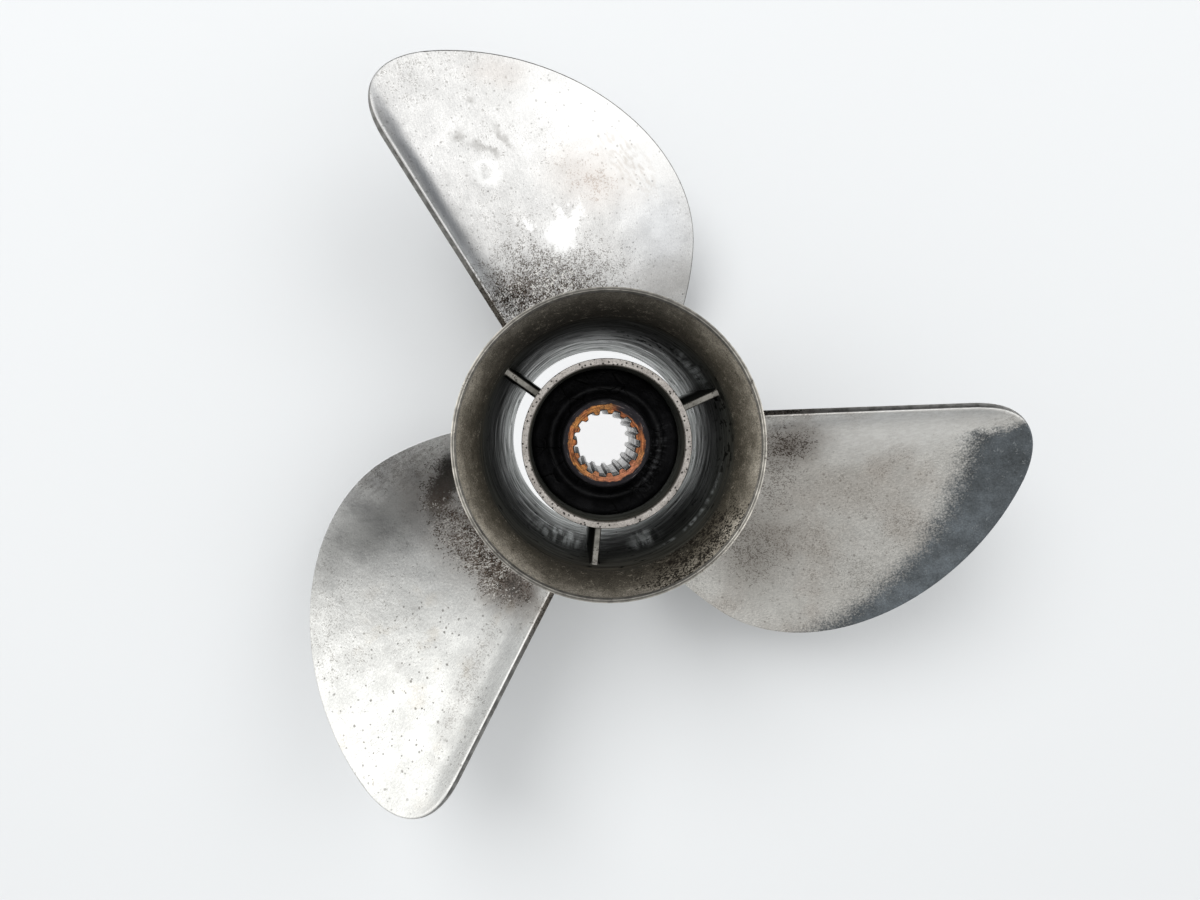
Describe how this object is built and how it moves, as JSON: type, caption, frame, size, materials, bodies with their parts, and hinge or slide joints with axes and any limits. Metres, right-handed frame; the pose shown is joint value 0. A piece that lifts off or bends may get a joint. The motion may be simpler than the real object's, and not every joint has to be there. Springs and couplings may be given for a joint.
{
  "type": "outboard motor propeller",
  "caption": "Right-hand boat propeller with raked, cupped blades on a flared hub that lets exhaust through, with ribs, a rubber bush and a splined sleeve.",
  "frame": {"origin": "centre of the hub's front rim, on the shaft axis and on the plane that the propeller stands on", "axes": "+Z along the shaft axis, aft to the flared rim; +Y along the line of blade_1; the propeller drives ahead when it turns clockwise seen from +Z"},
  "size_m": [0.301, 0.2918, 0.117],
  "materials": {
    "casting": "satin stainless casting, pitted and stained",
    "bush": "black, cracked",
    "sleeve": "tarnished bronze"
  },
  "bodies": {
    "root": {"hub_barrel": "casting", "exhaust_flare": "casting", "inner_hub_tube": "casting", "rib_1": "casting", "rib_2": "casting", "rib_3": "casting", "blade_1": "casting", "blade_2": "casting", "blade_3": "casting", "rubber_bush": "bush", "splined_sleeve": "sleeve"}
  },
  "joints": []
}
